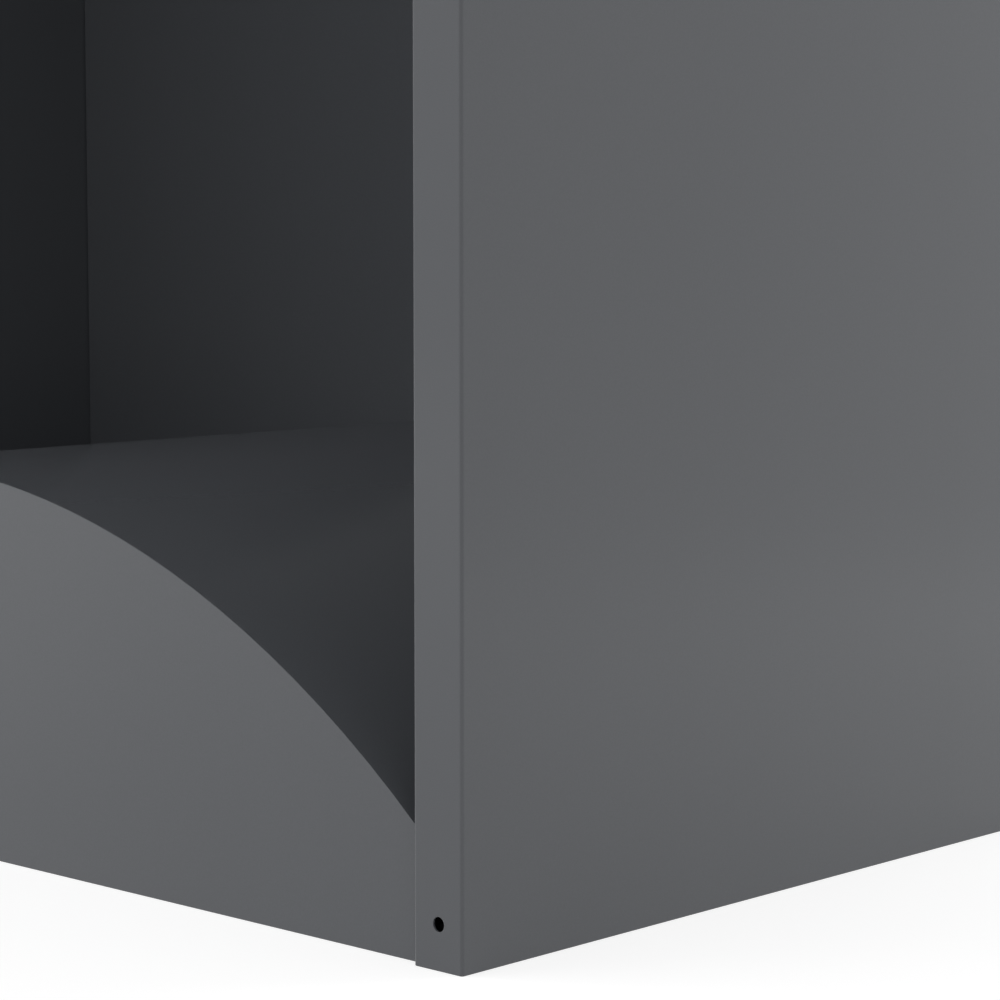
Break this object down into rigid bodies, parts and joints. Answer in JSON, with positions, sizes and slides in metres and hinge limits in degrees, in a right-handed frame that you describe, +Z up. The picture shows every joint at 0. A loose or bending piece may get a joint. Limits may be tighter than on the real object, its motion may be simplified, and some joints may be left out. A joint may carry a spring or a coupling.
{
  "type": "firewood rack",
  "caption": "Upright open-fronted firewood rack of folded, powder coated sheet steel, with a closed back and top and an arched floor that carries the stack clear of the ground.",
  "frame": {"origin": "on the ground, below the middle of the rack", "axes": "+X to the right seen from the front, +Y from the front to the back, +Z up"},
  "size_m": [0.803, 0.453, 1],
  "materials": {
    "anthracite_coat": "satin anthracite powder coat",
    "zinc_steel": "bright zinc plate",
    "rivet_aluminium": "plain mill finish"
  },
  "bodies": {
    "root": {"left_side_panel": "anthracite_coat", "right_side_panel": "anthracite_coat", "front_arch_panel": "anthracite_coat", "middle_arch_rib": "anthracite_coat", "rear_arch_rib": "anthracite_coat", "arched_floor": "anthracite_coat", "back_panel": "anthracite_coat", "top_cover": "anthracite_coat", "floor_clip_1": "anthracite_coat", "floor_clip_2": "anthracite_coat", "floor_clip_3": "anthracite_coat", "floor_clip_4": "anthracite_coat", "floor_clip_5": "anthracite_coat", "left_base_studs": "zinc_steel", "left_base_nuts": "zinc_steel", "left_top_studs": "zinc_steel", "left_top_nuts": "zinc_steel", "right_base_studs": "zinc_steel", "right_base_nuts": "zinc_steel", "right_top_studs": "zinc_steel", "right_top_nuts": "zinc_steel", "left_back_rivets": "rivet_aluminium", "right_back_rivets": "rivet_aluminium"}
  },
  "joints": []
}
